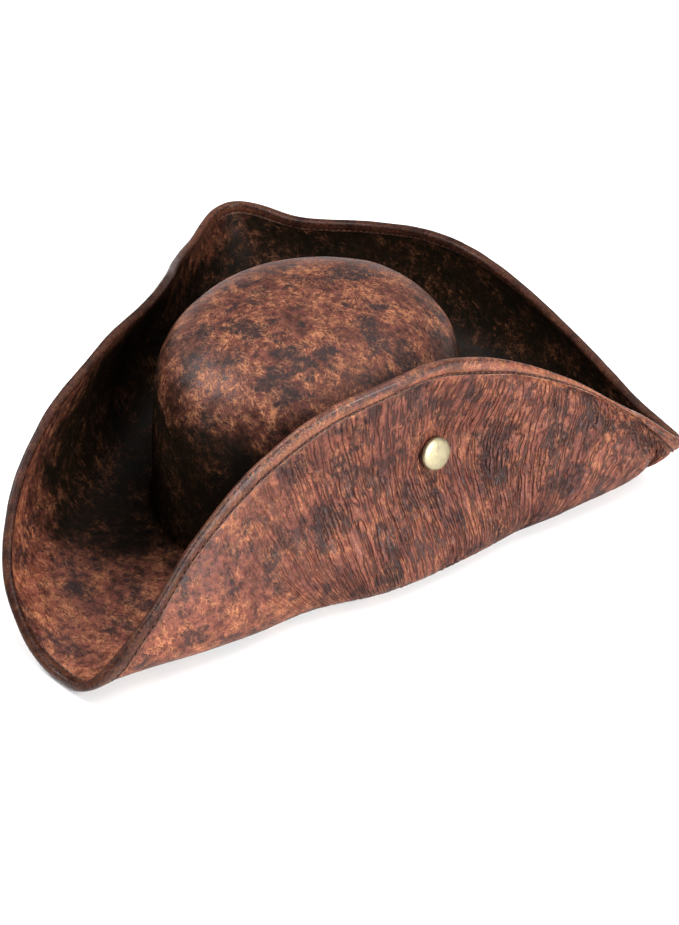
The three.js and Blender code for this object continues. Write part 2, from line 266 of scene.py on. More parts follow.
class HatSizes(bpy.types.PropertyGroup):
    """Sizes of the hat's pieces"""

    leather_wall: length_property(
        "Leather wall", "Thickness of the crown and of the brim", 2.4, 1, 4)
    wave_height: length_property(
        "Brim waves", "Height of the soft waves of the brim's leather", 0.45, 0, 3)
    wrinkle_spacing: length_property(
        "Wrinkle spacing", "Distance between the fine wrinkles of the left flap", 3.0, 2, 8)
    wrinkle_depth: length_property(
        "Wrinkle depth", "Depth of the fine wrinkles of the left flap", 1.0, 0, 1.5)
    binding_outside: length_property(
        "Binding outside", "Width of the edge binding on the brim's outer face", 9.2, 6, 14)
    binding_inside: length_property(
        "Binding inside", "Width of the edge binding on the brim's inner face", 6, 4, 12)
    binding_puff: length_property(
        "Binding puff", "How far the edge binding stands off the brim", 1.9, 1, 3)
    stitch_pitch: length_property(
        "Stitch pitch", "Distance from one stitch to the next", 4.2, 2, 8)
    thread_diameter: length_property(
        "Thread diameter", "Diameter of the sewing thread", 0.6, 0.3, 1.2)


def linear(hex_colour):
    """An sRGB hex colour as linear RGBA"""
    channels = [int(hex_colour[start:start + 2], 16) / 255 for start in (1, 3, 5)]
    return [c / 12.92 if c <= 0.04045 else ((c + 0.055) / 1.055) ** 2.4 for c in channels] + [1]


def colour_property(name, description, hex_colour):
    return bpy.props.FloatVectorProperty(
        name=name, description=description, default=linear(hex_colour), size=4,
        min=0, max=1, subtype="COLOR")


class HatColours(bpy.types.PropertyGroup):
    """Colours of the hat's leathers, thread and metal"""

    base: colour_property("Base", "Maroon dye between the fibres", "#331713")
    middle: colour_property("Middle", "Red-brown of the evenly worn leather", "#733f34")
    rubbed: colour_property("Rubbed", "Orange-brown where the dye is rubbed off", "#824630")
    fibre: colour_property("Fibre", "Light orange of the bared fibres", "#ca875c")
    patch: colour_property("Patch", "Blue-black patches of old finish", "#191619")
    # Painted shade in the wrinkles' valleys, in the binding's groove and on the binding away from
    # the top of the left flap
    painted_deep_shade: colour_property("Crease", "Near-black maroon in the wrinkles' valleys", "#160a08")
    # Painted shade: near the crown, low on the crown and low on the brim's outer face
    shade: colour_property("Shade", "Green-black of the finish left near the crown", "#0e0c07")
    binding: colour_property("Binding", "Orange-brown of the rubbed edge binding", "#74472d")
    # Pale cut edges: the leather's own tan, lightened in part as a painted highlight
    raw_edge_and_highlight: colour_property("Raw edge", "Tan of the binding's cut edges", "#b08c70")
    thread: colour_property("Thread", "Dark brown sewing thread", "#3a2018")
    brass: colour_property("Brass", "Pale brass of the snap's cap", "#b2a788")
    floor: colour_property("Floor", "Plain pale floor", "#f6f6f6")


class StageSettings(bpy.types.PropertyGroup):
    """Camera and light"""

    azimuth: bpy.props.FloatProperty(
        name="Azimuth", description="Camera's turn round the hat, from the front to the left",
        default=math.radians(36), subtype="ANGLE")
    elevation: bpy.props.FloatProperty(
        name="Elevation", description="Camera's height above the horizon",
        default=math.radians(37), subtype="ANGLE")
    distance: bpy.props.FloatProperty(
        name="Distance", description="From the camera to the crown's foot",
        default=1.5, min=0.5, max=5, unit="LENGTH")
    pixels_per_metre: bpy.props.FloatProperty(
        name="Image scale", description="Pixels for a metre at the crown's foot",
        default=1653, min=100, max=5000)
    aside: length_property(
        "Aside", "Image centre, to the right of the crown's foot", 18.4, -200, 200)
    above: length_property("Above", "Image centre, above the crown's foot", 10, -200, 200)


# Small tools


def smooth_step(low, high, values):
    share = np.clip((values - low) / (high - low), 0, 1)
    return share * share * (3 - 2 * share)


def bump(distance):
    """1 at the middle, 0 from a distance of 1"""
    return np.maximum(1 - distance * distance, 0) ** 2


def noise_at(points):
    """Smooth noise from -1 to 1 at each of the points, which are in the noise's own units"""
    flat = points.reshape(-1, 3)
    values = np.fromiter((noise.noise(Vector(point)) for point in flat), float, len(flat))
    return values.reshape(points.shape[:-1])


def unit(vectors):
    return vectors / np.maximum(np.linalg.norm(vectors, axis=-1, keepdims=True), 1e-12)


def lengths_along(points):
    """How far along its line each point is. The lines run along the last axis but one."""
    steps = np.linalg.norm(np.diff(points, axis=-2), axis=-1)
    return np.concatenate([0 * steps[..., :1], np.cumsum(steps, axis=-1)], axis=-1)


def points_at(spots, along, line):
    """The points of one line that lie this far along it"""
    return np.stack([np.interp(spots, along, axis) for axis in line.T], -1)


def wrap(values, axis=0):
    """Repeats the first entry after the last one"""
    return np.concatenate([values, np.take(values, [0], axis=axis)], axis=axis)


def finish_piece(piece, slot, material, *nodes):
    """Gives a finished piece its material, hides the parts of the model that it stands for, and
    attaches it to what it moves with
    """
    piece.data.materials.clear()
    piece.data.materials.append(material)
    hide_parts(*nodes)
    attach(piece, BODY)


def edit(piece):
    """Opens a piece in edit mode, with all of it selected"""
    bpy.ops.object.select_all(action="DESELECT")
    bpy.context.view_layer.objects.active = piece
    piece.select_set(True)
    bpy.ops.object.mode_set(mode="EDIT")
    bpy.ops.mesh.select_all(action="SELECT")


def face_outward():
    """Turns the faces of the piece in edit mode outward, and leaves edit mode"""
    bpy.ops.mesh.select_all(action="SELECT")
    bpy.ops.mesh.normals_make_consistent(inside=False)
    bpy.ops.object.mode_set(mode="OBJECT")


def start_ring(name, vertices, radius):
    """A ring round the origin, open in edit mode"""
    bpy.ops.object.select_all(action="DESELECT")
    bpy.ops.mesh.primitive_circle_add(vertices=vertices, radius=radius, location=(0, 0, 0))
    piece = bpy.context.object
    piece.name = piece.data.name = name
    edit(piece)
    return piece


def raise_rings(rings, share=1.0):
    """Extrudes the ring in edit mode through rings, each a share of one size and a height, and
    fills the last one. share is the first ring's own."""
    height = 0.0
    for next_share, next_height in rings:
        bpy.ops.mesh.extrude_region_move(
            TRANSFORM_OT_translate={"value": (0, 0, next_height - height)})
        step = next_share / share
        bpy.ops.transform.resize(value=(step, step, 1), center_override=(0, 0, next_height))
        share, height = next_share, next_height
    ring = bpy.context.edit_object.data.total_vert_sel
    bpy.ops.mesh.fill_grid(span=ring // 4)
    face_outward()


def apply_modifier(piece, kind, **settings):
    modifier = piece.modifiers.new(kind.title(), kind)
    for name, value in settings.items():
        setattr(modifier, name, value)
    bpy.context.view_layer.objects.active = piece
    bpy.ops.object.modifier_apply(modifier=modifier.name)


def vertex_points(piece):
    points = np.empty(len(piece.data.vertices) * 3)
    piece.data.vertices.foreach_get("co", points)
    return points.reshape(-1, 3)


def move_vertices(piece, points):
    piece.data.vertices.foreach_set("co", points.ravel())
    piece.data.update()


def closed_sheet(name, rings, courses, masks):
    """A grid primitive wrapped into a closed skin. rings has a column for each station round the
    hat and a row for each ring. The grid's last column and last row repeat the first ones, and
    are merged with them. courses are the UV of each of its points, those repeated ones too, and
    masks are named values of each of the rings' points."""
    points = wrap(wrap(rings + CENTRE), 1)
    columns, rows = points.shape[:2]
    bpy.ops.object.select_all(action="DESELECT")
    bpy.ops.mesh.primitive_grid_add(x_subdivisions=columns - 1, y_subdivisions=rows - 1, size=1)
    piece = bpy.context.object
    piece.name = piece.data.name = name
    move_vertices(piece, points.transpose(1, 0, 2))
    corners = np.empty(len(piece.data.loops), int)
    piece.data.loops.foreach_get("vertex_index", corners)
    layer = piece.data.uv_layers[0]
    layer.name = "course"
    layer.data.foreach_set("uv", courses.transpose(1, 0, 2).reshape(-1, 2)[corners].ravel())
    for mask, values in masks.items():
        attribute = piece.data.attributes.new(mask, "FLOAT", "POINT")
        attribute.data.foreach_set("value", wrap(wrap(values), 1).T.ravel())
    edit(piece)
    bpy.ops.mesh.remove_doubles(threshold=MERGE_DISTANCE)
    face_outward()
    bpy.ops.object.shade_smooth()
    return piece


# The brim's shape


def column(name, places):
    """A smooth value of one table column at places between sections"""
    values = np.array([row[SECTION_COLUMNS.index(name)] for row in SECTION_ROWS], float)
    turns = 360 if name in ("root", "rim") else 0
    first = np.floor(places).astype(int)
    share = places - first
    before, here, after, beyond = (
        values[(first + step) % SECTION_COUNT] + (first + step) // SECTION_COUNT * turns
        for step in (-1, 0, 1, 2))
    rise = 3 * share ** 2 - 2 * share ** 3
    leave = (share ** 3 - 2 * share ** 2 + share) * (after - before) / 2
    arrive = (share ** 3 - share ** 2) * (beyond - here) / 2
    return here + rise * (after - here) + leave + arrive


def crown_radius(azimuths):
    return 1 / np.hypot(np.cos(azimuths) / CROWN_HALF_WIDTH, np.sin(azimuths) / CROWN_HALF_LENGTH)


def brim_points(azimuths, reaches, heights):
    radius = crown_radius(azimuths) + SEAM_GAP + reaches
    return np.stack([radius * np.cos(azimuths), radius * np.sin(azimuths), heights], -1)


def section_curves(places, wall):
    """Middle lines of the brim's sections: for each place, points from the root to the rim"""
    root = np.radians(column("root", places))
    turn = np.radians(column("rim", places)) - root
    rest = wall / 2 - REST_SQUASH
    length = {name: column(name, places) * BRIM_WIDTH for name in SECTION_COLUMNS[2:]}
    controls = (
        brim_points(root, 0 * root, rest + 0 * root),
        brim_points(root + FOLD_TURN * turn, length["fold"], rest + 0 * root),
        brim_points(root + KNEE_TURN * turn, length["knee_reach"], rest + length["knee_height"]),
        brim_points(root + turn, length["rim_reach"], rest + length["rim_height"]),
    )
    t = np.linspace(0, 1, CURVE_STEPS)[None, :, None]
    weights = ((1 - t) ** 3, 3 * t * (1 - t) ** 2, 3 * t ** 2 * (1 - t), t ** 3)
    return sum(weight * control[:, None, :] for weight, control in zip(weights, controls))


def pulled_in(points, places, distances, wall):
    """The snap pulls the left flap in against the crown, but not through it"""
    azimuths = np.arctan2(points[..., 1], points[..., 0])
    reach = np.hypot(points[..., 0], points[..., 1]) - crown_radius(azimuths) - SEAM_GAP
    nearest = wall / 2
    pull = bump((places - SNAP_SECTION) / PULL_SECTIONS) * bump(
        (distances - SNAP_FROM_EDGE) / PULL_ACROSS)
    pulled = reach - (snap_reach(wall) - nearest) * pull
    return brim_points(azimuths, np.maximum(pulled, np.minimum(reach, nearest)), points[..., 2])


def snap_reach(wall):
    """How far out from the crown the snap's place would be, were it not pulled in"""
    curve = section_curves(np.array([SNAP_SECTION]), wall)[0]
    lengths = lengths_along(curve)
    point = points_at(lengths[-1] - SNAP_FROM_EDGE, lengths, curve)
    azimuth = math.atan2(point[1], point[0])
    return math.hypot(point[0], point[1]) - crown_radius(azimuth) - SEAM_GAP


def brim_middle(places, from_rim, shares, sizes):
    """The brim's middle surface. from_rim are distances from the rim, and shares go on from the
    last of them to the crown's foot. Returns the points, the distances and the unit normals,
    which face the crown."""
    wall = sizes.leather_wall
    curves = section_curves(places, wall)
    lengths = lengths_along(curves)
    whole = lengths[:, -1:]
    last = from_rim[-1]
    distances = np.concatenate([
        np.broadcast_to(from_rim, (len(places), len(from_rim))),
        last + (whole - last) * np.asarray(shares)[None, :]], axis=1)
    points = np.stack([
        points_at(end - row, line, curve)
        for end, row, line, curve in zip(whole[:, 0], distances, lengths, curves)])
    points = pulled_in(points, places[:, None], distances, wall)
    normals = grid_normals(points)
    inner_share = np.clip((distances - CREASES_START) / (whole - CREASES_START), 0, 1)
    relief = sum(
        depth * wall * np.sin(math.pi * inner_share) * bump((places[:, None] - middle) / half_width)
        for middle, half_width, depth in CREASE_ROWS)
    lift = smooth_step(*RELIEF_FROM, points[..., 2])
    away = smooth_step(*WAVES_START, distances)
    soft = noise_at(points / WAVE_SIZES[0]) + 0.5 * noise_at(points / WAVE_SIZES[1] + 7)
    points = points - (lift * (relief - sizes.wave_height * away * soft))[..., None] * normals
    return points, distances, grid_normals(points)


def grid_normals(points):
    around = np.roll(points, -1, axis=0) - np.roll(points, 1, axis=0)
    inward = np.gradient(points, axis=1)
    return unit(np.cross(around, inward))


def station_places(spacing_at, wall):
    """Places round the hat, as far apart at the rim as spacing_at says"""
    tries = np.linspace(0, SECTION_COUNT, 40 * SECTION_COUNT + 1)
    rim = section_curves(tries, wall)[:, -1]
    steps = np.linalg.norm(np.diff(rim, axis=0), axis=1)
    middles = (tries[1:] + tries[:-1]) / 2
    count = np.concatenate([[0], np.cumsum(steps / spacing_at(middles))])
    stations = round(count[-1])
    return np.interp(np.arange(stations) * count[-1] / stations, count, tries)


def wrinkle_course(places, middle, distances):
    """Follows the wrinkles' fan from each point to one level below the edge. Returns how far
    along the flap each comes out there: points of one wrinkle share that distance."""
    level = np.argmin(np.abs(distances[0] - FAN_LEVEL))
    along = lengths_along(middle[:, level])
    fan_places, drifts = zip(*WRINKLE_FAN)
    fan_along = np.interp(fan_places, places, along)
    course = np.repeat(along[:, None], distances.shape[1], axis=1)
    for _ in range(FAN_STEPS):
        drift = np.interp(course, fan_along, drifts)
        course = course + drift * (FAN_LEVEL - distances) / FAN_STEPS
    return course



# Materials

GRAIN_MM = 0.9
LEATHER_IOR = 1.5

# The runs of bared fibres: where each pattern starts, in millimetres, and its turns
FIBRE_RUNS = (
    ((9, 3, 5), (0.5, 0.2, 0.9)),
    ((42, 38, 17), (1.2, 0.9, 2.3)),
    ((-31, 65, 28), (2.1, 0.3, 3.9)),
    ((77, -23, 51), (0.2, 1.7, 5.1)),
)


def add_node(tree, kind, inputs, output=0, **settings):
    """Adds a node and returns one of its outputs. inputs are values, or outputs that feed it, in
    their order or by name or number."""
    node = tree.nodes.new("ShaderNode" + kind)
    for name, value in settings.items():
        setattr(node, name, value)
    for key, value in (inputs.items() if isinstance(inputs, dict) else enumerate(inputs)):
        if isinstance(value, bpy.types.NodeSocket):
            tree.links.new(value, node.inputs[key])
        else:
            node.inputs[key].default_value = value
    return node.outputs[output]


def new_material(name):
    material = bpy.data.materials.new(name)
    material.use_nodes = True
    return material, material.node_tree, material.node_tree.nodes["Principled BSDF"]


def finish_shader(tree, shader, colour, roughness, height, distance=MM):
    """Feeds the shader its colour, its roughness and its relief, whose height is in distances"""
    normal = add_node(tree, "Bump", {"Strength": 1.0, "Distance": distance, "Height": height})
    for name, value in (("Base Color", colour), ("Roughness", roughness), ("Normal", normal)):
        tree.links.new(value, shader.inputs[name])


def layered(tree, colour, layers):
    """A colour with others laid over it in turn, each as far as its share says"""
    for share, over in layers:
        colour = add_node(tree, "Mix", {0: share, 6: colour, 7: over}, 2, data_type="RGBA")
    return colour


def in_millimetres(tree):
    place = add_node(tree, "TexCoord", {}, "Object")
    return add_node(tree, "VectorMath", {0: place, "Scale": 1 / MM}, operation="SCALE")


def wandering(tree, coordinates, size_mm, reach_mm):
    """Coordinates that wander by this reach over this distance"""
    swirl = add_node(
        tree, "TexNoise", {"Vector": coordinates, "Scale": 1 / size_mm, "Detail": 1}, "Color")
    swirl = add_node(tree, "VectorMath", (
        swirl, (reach_mm,) * 3, (-reach_mm / 2,) * 3), operation="MULTIPLY_ADD")
    return add_node(tree, "VectorMath", (coordinates, swirl), operation="ADD")


def patches(tree, coordinates, size_mm, low, high, start=0.0, end=1.0, detail=2, roughness=0.5):
    """Cloudy patches of about this size: start where their noise is low, end where it is high"""
    cloud = add_node(tree, "TexNoise", {
        "Vector": coordinates, "Scale": 1 / size_mm, "Detail": detail, "Roughness": roughness})
    return add_node(tree, "MapRange", (
        cloud, low, high, start, end), interpolation_type="SMOOTHSTEP")


def lines(tree, coordinates, size_mm, width, detail=1.5):
    """Thin curly lines where a noise passes its middle: 1 on a line and 0 beside it"""
    field = add_node(
        tree, "TexNoise", {"Vector": coordinates, "Scale": 1 / size_mm, "Detail": detail})
    off = add_node(tree, "Math", (field, 0.5), operation="SUBTRACT")
    off = add_node(tree, "Math", (off,), operation="ABSOLUTE")
    return add_node(tree, "MapRange", (off, 0.0, width, 1.0, 0.0), interpolation_type="SMOOTHSTEP")


def hairs(tree, coordinates, move, turn):
    """Patches of thin, nearly straight fibres that all run one way, 12 mm long"""
    drawn = add_node(tree, "Mapping", {
        "Vector": coordinates, "Location": move, "Rotation": turn, "Scale": (2.5, 12, 2.5),
    }, vector_type="TEXTURE")
    moved = add_node(tree, "Mapping", {"Vector": coordinates, "Location": move})
    return add_node(tree, "Math", (
        lines(tree, drawn, 1, 0.06, detail=1),
        patches(tree, moved, 12, 0.45, 0.58, detail=3)), operation="MULTIPLY")


def leather_material(name, colours, wear, streaked):
    """Distressed waxed cowhide: an aniline-dyed hide whose dark top coat has cracked and is rubbed
    off.
    It shows a fine tangle of orange fibres on maroon, cloudy blue-black patches of the old coat and
    a satin wax sheen. wear is how far the dye is rubbed off. A mesh attribute says where
    green-black
    shade is painted: low on the crown, near the crown on the brim and low on the brim's outer face."""
    material, tree, shader = new_material(name)
    place = in_millimetres(tree)
    course = wandering(tree, place, 12, 9)
    tangle = wandering(tree, place, 5, 3)

    old_finish = patches(tree, course, 21, 0.50, 0.60, detail=7, roughness=0.62)
    moved = add_node(tree, "Mapping", {"Vector": course, "Location": (70, 20, 40)})
    rubbing = add_node(tree, "TexNoise", {
        "Vector": moved, "Scale": 1 / 19, "Detail": 8, "Roughness": 0.66})
    rubbed = add_node(tree, "MapRange", {
        0: rubbing, 1: 0.44, 2: 0.62, 4: 0.36 * wear}, interpolation_type="SMOOTHSTEP")

    fibres = add_node(tree, "Math", (lines(tree, tangle, 5, 0.034), 0.7), operation="MULTIPLY")
    for move, turn in FIBRE_RUNS:
        fibres = add_node(tree, "Math", (
            fibres, hairs(tree, tangle, move, turn)), operation="MAXIMUM")
    broken = patches(tree, place, 4.5, 0.36, 0.60, detail=5, roughness=0.65)
    fibres = add_node(tree, "Math", (fibres, broken), operation="MULTIPLY")
    mottle = patches(tree, tangle, 4, 0.36, 0.64, end=0.35 + 0.65 * wear, detail=5, roughness=0.7)

    # Heights are in millimetres. The grain is as coarse as it needs to be to show.
    grain = add_node(tree, "TexNoise", {"Vector": place, "Scale": 1 / GRAIN_MM, "Detail": 2})
    height = add_node(tree, "Math", (fibres, 0.12), operation="MULTIPLY")
    height = add_node(tree, "Math", (grain, 0.20, height), operation="MULTIPLY_ADD")
    creases = []
    if streaked:
        fibres, mottle, height, valleys = draw_out(tree, fibres, broken, mottle, height)
        # Painted shade in the wrinkles' valleys
        creases = [(valleys, colours.painted_deep_shade)]

    bared = add_node(tree, "MapRange", (
        rubbing, 0.40, 0.60, 0.16, 0.52 + 0.15 * wear), interpolation_type="SMOOTHSTEP")
    bared = add_node(tree, "Math", (fibres, bared), operation="MULTIPLY")
    kept = add_node(tree, "Math", (fibres, -0.5, 0.82 - 0.12 * wear), operation="MULTIPLY_ADD")
    kept = add_node(tree, "Math", (old_finish, kept), operation="MULTIPLY")
    # Painted shade: green-black where the mesh's attribute asks for it, with a ragged edge from the
    # rubbing and the bared fibres showing through
    left = add_node(tree, "Attribute", {}, "Fac", attribute_name="finish_and_painted_shade")
    left = add_node(tree, "Math", (left, 0.8), operation="ADD")
    left = add_node(tree, "Math", (rubbing, -1.6, left), operation="MULTIPLY_ADD")
    left = add_node(tree, "MapRange", {0: left, 2: 0.9}, interpolation_type="SMOOTHSTEP")
    painted_shade_share = add_node(tree, "Math", (bared, -0.34, 0.97), operation="MULTIPLY_ADD")
    painted_shade_share = add_node(tree, "Math", (left, painted_shade_share), operation="MULTIPLY")
    colour = layered(tree, colours.base, [
        (mottle, colours.middle), (rubbed, colours.rubbed), (bared, colours.fibre),
        (kept, colours.patch), (painted_shade_share, colours.shade), *creases])

    # Waxed leather's cracked face gives less than half of its IOR's gloss, and almost none where
    # shade is painted
    shader.inputs["IOR"].default_value = LEATHER_IOR
    gloss = add_node(
        tree, "MapRange", {0: left, 3: 0.20, 4: 0.05}, interpolation_type="SMOOTHSTEP")
    tree.links.new(gloss, shader.inputs["Specular IOR Level"])
    wax = patches(tree, place, 4, 0.3, 0.7, 0.36, 0.48, detail=3)
    roughness = add_node(tree, "Math", (fibres, 0.12, wax), operation="MULTIPLY_ADD")
    finish_shader(tree, shader, colour, roughness, height)
    return material


def draw_out(tree, fibres, broken, mottle, height):
    """Draws the left flap's fibres out along its wrinkles, whose course the UV map holds, into
    streaks that are partly a painted highlight of the ridges, evens its dye, and adds fine creases
    36 mm long with shade painted along them and in the modelled valleys. The mesh's attributes say
    where it is wrinkled, and where the wrinkles' valleys are. Returns the fibres, the dye, the
    height and the painted shade of the valleys."""
    flap = add_node(tree, "Attribute", {}, "Fac", attribute_name="wrinkled")
    modelled = add_node(tree, "Attribute", {}, "Fac", attribute_name="valley")
    along = add_node(tree, "UVMap", {}, uv_map="course")
    along = add_node(tree, "VectorMath", {0: along, "Scale": 1 / MM}, operation="SCALE")
    along = wandering(tree, along, 13, 2.4)
    creased = add_node(tree, "Mapping", {"Vector": along, "Scale": (1 / 3.3, 1 / 36, 1)})
    thin = add_node(tree, "Math", (lines(tree, creased, 1, 0.08), flap), operation="MULTIPLY")
    # Painted shade along the fine creases and in the modelled valleys
    valleys = add_node(tree, "Math", (thin, 0.95), operation="MULTIPLY")
    valleys = add_node(tree, "Math", (valleys, modelled), operation="MAXIMUM")
    valleys = add_node(tree, "Math", (valleys, 0.85), operation="MULTIPLY")

    short = add_node(tree, "Mapping", {
        "Vector": along, "Location": (30, 0, 0), "Scale": (1 / 1.8, 1 / 7, 1)})
    # Orange streaks along the wrinkles: drawn-out fibres, partly a painted highlight of the ridges
    streaks_and_highlight = add_node(tree, "Math", (broken, 0.8), operation="MULTIPLY")
    streaks_and_highlight = add_node(
        tree, "Math", (lines(tree, short, 1, 0.07, detail=2), streaks_and_highlight), operation="MULTIPLY")
    share = add_node(tree, "Math", (flap, 0.8), operation="MULTIPLY")
    fibres = add_node(tree, "Mix", {0: share, 2: fibres, 3: streaks_and_highlight}, data_type="FLOAT")
    even = add_node(tree, "Math", (flap, 0.65), operation="MULTIPLY")
    mottle = add_node(tree, "Math", (mottle, even), operation="MAXIMUM")

    ridges = add_node(tree, "Math", (1.0, lines(tree, creased, 1, 0.17)), operation="SUBTRACT")
    ridges = add_node(tree, "Math", (ridges, flap), operation="MULTIPLY")
    height = add_node(tree, "Math", (ridges, 0.75, height), operation="MULTIPLY_ADD")
    height = add_node(tree, "Math", (thin, -0.25, height), operation="MULTIPLY_ADD")
    return fibres, mottle, height, valleys


def binding_leather(colours):
    """Strip-cut cowhide, folded over the edge and handled: smoother and more orange than the brim,
    with dark flecks along the crest and in the stitched groove, and pale cut edges lightened in
    part as a painted highlight. Shade is painted in the groove, and all round but along the top of
    the left flap."""
    material, tree, shader = new_material("rubbed cowhide binding")
    place = in_millimetres(tree)
    finish_and_painted_shade, crest, cut = (
        add_node(tree, "Attribute", {}, "Fac", attribute_name=name)
        for name in ("finish_and_painted_shade", "crest", "cut"))
    tangle = wandering(tree, place, 5, 3)
    fibres = lines(tree, tangle, 2.8, 0.06)
    flecks = patches(tree, place, 1.9, 0.43, 0.56, end=0.85, detail=3, roughness=0.6)
    flecks = add_node(tree, "Math", (crest, flecks), operation="MULTIPLY")
    # Pale cut edges: the leather's own tan, lightened in part as a painted highlight
    raw_edge_and_highlight = patches(tree, place, 9, 0.42, 0.56, 0.15, 0.9, detail=4, roughness=0.6)
    raw_edge_and_highlight = add_node(tree, "Math", (cut, raw_edge_and_highlight), operation="MULTIPLY")
    mottle = patches(tree, wandering(tree, place, 6, 4), 6, 0.36, 0.64, detail=5, roughness=0.65)
    # The layers end with painted shade, where the mesh's attribute asks for it, and with the pale
    # cut edges, partly a painted highlight
    colour = layered(tree, colours.middle, [
        (mottle, colours.binding),
        (add_node(tree, "Math", (fibres, 0.35), operation="MULTIPLY"), colours.fibre),
        (patches(tree, place, 15, 0.47, 0.62, end=0.75, detail=6, roughness=0.65), colours.base),
        (flecks, colours.patch), (finish_and_painted_shade, colours.painted_deep_shade), (raw_edge_and_highlight, colours.raw_edge_and_highlight)])
    shader.inputs["IOR"].default_value = LEATHER_IOR
    # Little gloss where shade is painted
    gloss = add_node(
        tree, "MapRange", {0: finish_and_painted_shade, 3: 0.30, 4: 0.10}, interpolation_type="SMOOTHSTEP")
    tree.links.new(gloss, shader.inputs["Specular IOR Level"])
    roughness = patches(tree, place, 3, 0.3, 0.7, 0.26, 0.40, detail=3)
    height = add_node(tree, "TexNoise", {"Vector": place, "Scale": 1 / GRAIN_MM, "Detail": 2})
    height = add_node(tree, "Math", (height, 0.18), operation="MULTIPLY")
    height = add_node(tree, "Math", (fibres, -0.06, height), operation="MULTIPLY_ADD")
    finish_shader(tree, shader, colour, roughness, height)
    return material


def thread_material(colours):
    """Waxed linen sewing thread, dull and dark, with its wax worn off in places"""
    material, tree, shader = new_material("waxed linen thread")
    wear_and_painted_shade = patches(tree, in_millimetres(tree), 2, 0.35, 0.65)
    colour = layered(tree, colours.thread, [(wear_and_painted_shade, colours.middle)])
    tree.links.new(colour, shader.inputs["Base Color"])
    shader.inputs["Roughness"].default_value = 0.7
    return material


def brass_material(colours):
    """Spun and lacquered brass: pale gold, satin, with fine handling marks"""
    material, tree, shader = new_material("lacquered spun brass")
    place = in_millimetres(tree)
    cloud = patches(tree, place, 3, 0.3, 0.7, detail=4, roughness=0.6)
    dull = (*(0.8 * channel for channel in colours.brass[:3]), 1)
    colour = layered(tree, dull, [(cloud, colours.brass)])
    shader.inputs["Metallic"].default_value = 1.0
    roughness = add_node(
        tree, "MapRange", {0: cloud, 3: 0.42, 4: 0.52}, interpolation_type="SMOOTHSTEP")
    marks = add_node(tree, "TexNoise", {"Vector": place, "Scale": 1 / 1.5, "Detail": 3})
    finish_shader(tree, shader, colour, roughness, marks, 0.1 * MM)
    return material


# Pieces


class HAT_OT_add_crown(bpy.types.Operator):
    """Raise the domed crown from an oval ring"""

    bl_idname = "tricorn.add_crown"
    bl_label = "Add Crown"

    def execute(self, context):
        crown = start_ring("crown_leather", CROWN_STATIONS, 1)
        bpy.ops.transform.resize(
            value=(CROWN_HALF_WIDTH, CROWN_HALF_LENGTH, 1), center_override=(0, 0, 0))
        raise_rings(self.profile())
        self.round_top(crown)
        wall = context.scene.hat_sizes.leather_wall
        apply_modifier(crown, "SOLIDIFY", thickness=wall, offset=-1)
        apply_modifier(crown, "SUBSURF", levels=2, render_levels=2)
        self.soften(crown)
        bpy.ops.object.shade_smooth()
        leather = leather_material(
            "distressed cowhide of the crown", context.scene.hat_colours, wear=0.25, streaked=False)
        finish_piece(crown, "crown_leather", leather, "crown")
        return {"FINISHED"}

    @staticmethod
    def height_at(share):
        """Height of the dome over a share of the crown's oval"""
        inside = np.clip(share / CROWN_TOP_SHARE, 0, 1)
        return CROWN_SIDE + CROWN_DOME * (1 - inside ** CROWN_ROUNDNESS) ** (1 / CROWN_ROUNDNESS)

    def profile(self):
        """Share of the oval and height of each ring above the first"""
        for climb in (CROWN_FOOT_SHARE, *np.arange(1, CROWN_SIDE_ROWS + 1) / CROWN_SIDE_ROWS):
            yield 1 - (1 - CROWN_TOP_SHARE) * climb, CROWN_SIDE * climb
        last = math.acos((CROWN_LAST_SHARE / CROWN_TOP_SHARE) ** (CROWN_ROUNDNESS / 2))
        for turn in np.linspace(0, last, CROWN_DOME_ROWS + 1)[1:]:
            share = CROWN_TOP_SHARE * math.cos(turn) ** (2 / CROWN_ROUNDNESS)
            yield share, self.height_at(share)

    def round_top(self, crown):
        """Lifts the points of the filled top on to the dome"""
        points = vertex_points(crown)
        share = np.hypot(points[:, 0] / CROWN_HALF_WIDTH, points[:, 1] / CROWN_HALF_LENGTH)
        top = share < CROWN_LAST_SHARE * 0.999
        points[top, 2] = self.height_at(share[top])
        move_vertices(crown, points)

    @staticmethod
    def soften(crown):
        """Moves the crown to its place and gives it the slight unevenness of blocked leather"""
        points = vertex_points(crown)
        points[:, 0] *= CROWN_HALF_WIDTH / points[:, 0].max()
        points[:, 1] *= CROWN_HALF_LENGTH / points[:, 1].max()
        # Painted shade on the crown's lower part, darker towards its foot
        finish_and_painted_shade = crown.data.attributes.new("finish_and_painted_shade", "FLOAT", "POINT")
        finish_and_painted_shade.data.foreach_set("value", smooth_step(*CROWN_PAINTED_SHADE, points[:, 2]))
        lift = smooth_step(*CROWN_DENTS_FROM, points[:, 2])
        (height, size), (small_height, small_size) = CROWN_DENTS
        dents = height * noise_at(points / size + 3) + small_height * noise_at(points / small_size)
        outward = unit(points - np.array([0, 0, CROWN_HEIGHT / 3]))
        points += (lift * dents)[:, None] * outward
        points[:, 2] = np.maximum(points[:, 2], 0)
        move_vertices(crown, points + CENTRE)


